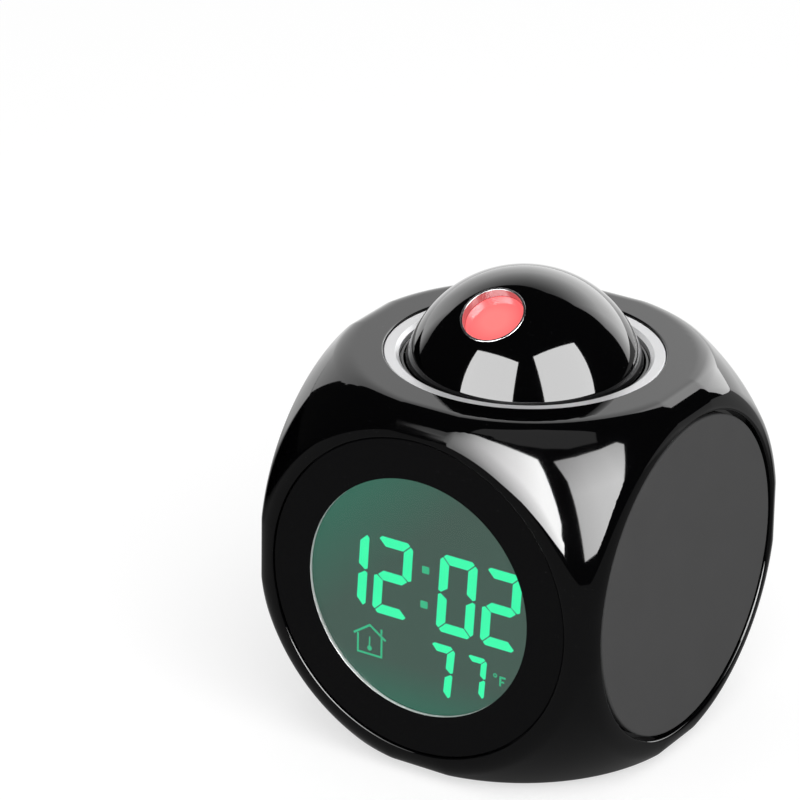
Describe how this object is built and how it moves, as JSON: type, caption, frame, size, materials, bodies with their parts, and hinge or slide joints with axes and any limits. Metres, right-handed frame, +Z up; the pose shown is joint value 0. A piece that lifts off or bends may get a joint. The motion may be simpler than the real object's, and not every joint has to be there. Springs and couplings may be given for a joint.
{
  "type": "projection alarm clock",
  "caption": "Cube-shaped gloss black desk alarm clock with a round lit display, side discs and a turning, tilting projector ball in a bright ring on top.",
  "frame": {"origin": "on the table, under the middle of the housing", "axes": "+Z up, the display faces -Y, the right side disc faces +X"},
  "size_m": [0.08, 0.08, 0.0977],
  "materials": {
    "housing": "high gloss black",
    "bezel": "gloss black",
    "side_disc": "satin dark grey",
    "ring": "satin chrome",
    "trim": "bright",
    "window": "clear",
    "lcd": "display with lit digits",
    "milky": "milky",
    "board": "solder mask",
    "inner": "moulded inner parts",
    "steel": "zinc plated",
    "ball": "high gloss black",
    "lens": "glowing red",
    "rubber": "matt",
    "cell": "sleeved",
    "button": "satin",
    "paper": "pressed paper"
  },
  "bodies": {
    "housing": {"front_shell": "housing", "rear_shell": "housing", "housing_screws": "steel", "side_disc_left": "side_disc", "side_disc_right": "side_disc", "front_bezel": "bezel", "display_trim": "trim", "display_window": "window", "lcd_panel": "lcd", "lcd_frame": "inner", "light_guide": "milky", "backlight_lamps": "milky", "lcd_connector": "rubber", "main_board": "board", "board_screws": "steel", "board_parts": "inner", "top_ring": "ring", "carrier_screws": "steel", "carrier_springs": "steel", "rear_panel": "bezel", "projection_switch": "steel", "key_board": "board", "key_board_screws": "steel", "key_switches": "inner", "snooze_switch": "inner", "temperature_sensor": "inner", "speaker_basket": "steel", "speaker_cone": "paper", "speaker_magnet": "steel", "base_cover": "inner", "base_screws": "steel", "battery_cells": "cell", "battery_contacts": "steel", "battery_springs": "steel", "rubber_feet": "rubber"},
    "press_carrier": {"press_carrier": "inner", "turntable_washer": "inner"},
    "socket": {"ball_socket": "ball"},
    "ball": {"ball_upper": "ball", "ball_lower": "ball", "ball_screws": "steel", "pivot_pins": "steel", "projector_lens": "lens", "lens_rim": "trim", "lens_barrel": "inner", "projector_film": "lcd", "projector_lamp": "lens", "projector_board": "board", "projector_screws": "steel"},
    "mode_button": {"mode_button": "button"},
    "set_button": {"set_button": "button"},
    "up_button": {"up_button": "button"},
    "down_button": {"down_button": "button"},
    "projection_switch_knob": {"projection_switch_knob": "button"},
    "battery_door": {"battery_door": "inner"}
  },
  "joints": [
    {"name": "dome_press", "type": "slide", "parent": "housing", "child": "press_carrier", "axis": [0, 0, -1], "range_m": [0, 0.0008], "stiffness_N_per_m": 600, "springref_m": -0.003, "deforming": ["carrier_springs"]},
    {"name": "turntable_turn", "type": "hinge", "parent": "press_carrier", "child": "socket", "pos_m": [0, 0, 0.0725], "axis": [0, 0, 1], "range_deg": [-90, 90]},
    {"name": "ball_tilt", "type": "hinge", "parent": "socket", "child": "ball", "pos_m": [0, 0, 0.0725], "axis": [1, 0, 0], "range_deg": [-85, 20]},
    {"name": "projection_switch_slide", "type": "slide", "parent": "housing", "child": "projection_switch_knob", "axis": [1, 0, 0], "range_m": [0, 0.004]},
    {"name": "battery_door_hinge", "type": "hinge", "parent": "housing", "child": "battery_door", "pos_m": [0, -0.02785, 0.00195], "axis": [-1, 0, 0], "range_deg": [0, 90]},
    {"name": "mode_press", "type": "slide", "parent": "housing", "child": "mode_button", "axis": [0, -1, 0], "range_m": [0, 0.0005], "stiffness_N_per_m": 400, "springref_m": -0.001},
    {"name": "set_press", "type": "slide", "parent": "housing", "child": "set_button", "axis": [0, -1, 0], "range_m": [0, 0.0005], "stiffness_N_per_m": 400, "springref_m": -0.001},
    {"name": "up_press", "type": "slide", "parent": "housing", "child": "up_button", "axis": [0, -1, 0], "range_m": [0, 0.0005], "stiffness_N_per_m": 400, "springref_m": -0.001},
    {"name": "down_press", "type": "slide", "parent": "housing", "child": "down_button", "axis": [0, -1, 0], "range_m": [0, 0.0005], "stiffness_N_per_m": 400, "springref_m": -0.001}
  ]
}
